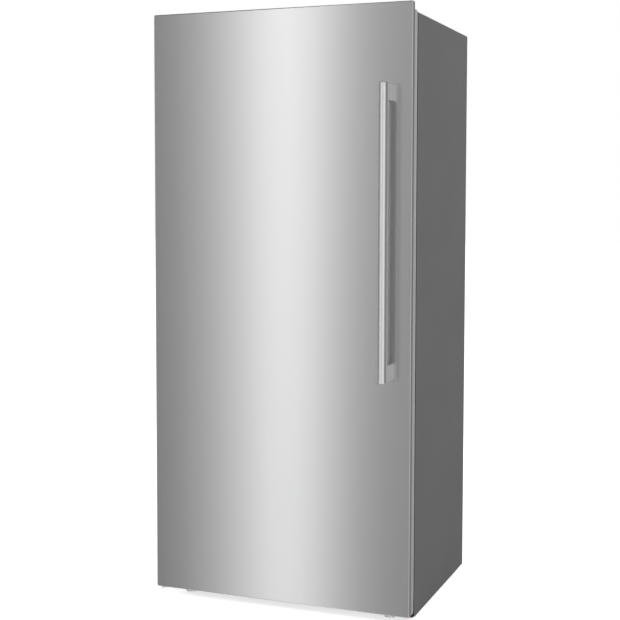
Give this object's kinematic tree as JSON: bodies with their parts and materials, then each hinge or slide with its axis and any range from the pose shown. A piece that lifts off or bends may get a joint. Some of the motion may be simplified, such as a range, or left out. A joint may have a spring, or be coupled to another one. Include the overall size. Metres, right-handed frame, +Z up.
{
  "type": "upright freezer",
  "caption": "Free-standing upright freezer with a full-height stainless door, a round bar handle, glass shelves, clear drawers and a machine space at its back.",
  "frame": {"origin": "middle of the footprint on the floor, handle included", "axes": "+X to the right of someone who faces the door, +Y to the back, +Z up"},
  "size_m": [0.838, 0.69, 1.829],
  "materials": {
    "stainless": "fine vertical brushing, semi-gloss",
    "handle_steel": "fine brushing, semi-gloss",
    "bright_steel": "zinc plated",
    "galvanised": "galvanised sheet",
    "black_frame": "black powder coat",
    "black_enamel": "semi-gloss black",
    "cabinet_paint": "fine-textured dark grey paint",
    "cabinet_plastic": "dark grey",
    "surround_plastic": "mid grey",
    "foam": "rigid insulation foam",
    "white_plastic": "smooth white",
    "grey_plastic": "mid grey",
    "black_plastic": "black",
    "button_plastic": "light grey",
    "clear_plastic": "clear, slightly frosted",
    "frosted_lens": "frosted",
    "clear_glass": "clear toughened",
    "aluminium": "plain",
    "copper": "bare copper tube",
    "rubber": "matt black",
    "gasket_rubber": "matt dark grey"
  },
  "bodies": {
    "cabinet": {"cabinet_wrapper": "cabinet_paint", "back_panel": "galvanised", "cabinet_foam": "foam", "inner_liner": "white_plastic", "machine_deck": "galvanised", "base_frame": "black_frame", "toe_grille": "black_plastic", "machine_cover": "galvanised", "power_inlet": "black_plastic", "evaporator_cover": "white_plastic", "evaporator_coil": "aluminium", "evaporator_fins": "aluminium", "defrost_heater": "bright_steel", "evaporator_fan_motor": "grey_plastic", "drain_trough": "grey_plastic", "evaporation_pan": "black_plastic", "compressor": "black_enamel", "compressor_mounts": "rubber", "terminal_cover": "black_plastic", "condenser_coil": "black_enamel", "condenser_fins": "black_enamel", "condenser_fan_mount": "galvanised", "refrigerant_lines": "copper", "control_housing": "white_plastic", "light_lens": "frosted_lens", "glass_shelf_1": "clear_glass", "glass_shelf_2": "clear_glass", "glass_shelf_3": "clear_glass", "glass_shelf_4": "clear_glass", "shelf_trims": "white_plastic", "drawer_runners": "white_plastic", "top_hinge_bracket": "bright_steel", "top_hinge_cover": "cabinet_plastic", "lower_hinge_bracket": "bright_steel", "cabinet_screws": "bright_steel"},
    "door": {"door_skin": "stainless", "door_foam": "foam", "door_liner": "white_plastic", "door_surround": "surround_plastic", "door_gasket": "gasket_rubber", "hinge_bushes": "black_plastic", "handle_bar": "handle_steel", "handle_posts": "handle_steel", "handle_studs": "bright_steel", "door_bin_1": "clear_plastic", "door_bin_2": "clear_plastic", "door_bin_3": "clear_plastic", "door_bin_4": "clear_plastic"},
    "evaporator_fan": {"evaporator_fan_blade": "grey_plastic"},
    "condenser_fan": {"condenser_fan_blade": "grey_plastic"},
    "drawer_1": {"drawer_1": "clear_plastic"},
    "drawer_2": {"drawer_2": "clear_plastic"},
    "drawer_3": {"drawer_3": "clear_plastic"},
    "leg_left": {"leg_left": "bright_steel"},
    "leg_right": {"leg_right": "bright_steel"},
    "roller_left": {"roller_left": "black_plastic"},
    "roller_right": {"roller_right": "black_plastic"},
    "button_power": {"button_power": "button_plastic"},
    "button_colder": {"button_colder": "button_plastic"},
    "button_warmer": {"button_warmer": "button_plastic"}
  },
  "joints": [
    {"name": "door_hinge", "type": "hinge", "parent": "cabinet", "child": "door", "pos_m": [-0.405, -0.265, 0.9], "axis": [0, 0, -1], "range_deg": [0, 115]},
    {"name": "evaporator_fan_spin", "type": "hinge", "parent": "cabinet", "child": "evaporator_fan", "pos_m": [0, 0.2385, 0.79], "axis": [0, 1, 0], "continuous": true},
    {"name": "condenser_fan_spin", "type": "hinge", "parent": "cabinet", "child": "condenser_fan", "pos_m": [0.056, 0.236, 0.138], "axis": [1, 0, 0], "continuous": true},
    {"name": "drawer_1_slide", "type": "slide", "parent": "cabinet", "child": "drawer_1", "axis": [0, -1, 0], "range_m": [0, 0.085]},
    {"name": "drawer_2_slide", "type": "slide", "parent": "cabinet", "child": "drawer_2", "axis": [0, -1, 0], "range_m": [0, 0.085]},
    {"name": "drawer_3_slide", "type": "slide", "parent": "cabinet", "child": "drawer_3", "axis": [0, -1, 0], "range_m": [0, 0.085]},
    {"name": "leg_left_height", "type": "slide", "parent": "cabinet", "child": "leg_left", "axis": [0, 0, -1], "range_m": [-0.008, 0.02]},
    {"name": "leg_right_height", "type": "slide", "parent": "cabinet", "child": "leg_right", "axis": [0, 0, -1], "range_m": [-0.008, 0.02]},
    {"name": "roller_left_spin", "type": "hinge", "parent": "cabinet", "child": "roller_left", "pos_m": [-0.385, 0.3, 0.02], "axis": [1, 0, 0], "continuous": true},
    {"name": "roller_right_spin", "type": "hinge", "parent": "cabinet", "child": "roller_right", "pos_m": [0.385, 0.3, 0.02], "axis": [1, 0, 0], "continuous": true},
    {"name": "button_power_press", "type": "slide", "parent": "cabinet", "child": "button_power", "axis": [0, 1, 0], "range_m": [0, 0.001], "stiffness_N_per_m": 800},
    {"name": "button_colder_press", "type": "slide", "parent": "cabinet", "child": "button_colder", "axis": [0, 1, 0], "range_m": [0, 0.001], "stiffness_N_per_m": 800},
    {"name": "button_warmer_press", "type": "slide", "parent": "cabinet", "child": "button_warmer", "axis": [0, 1, 0], "range_m": [0, 0.001], "stiffness_N_per_m": 800}
  ]
}
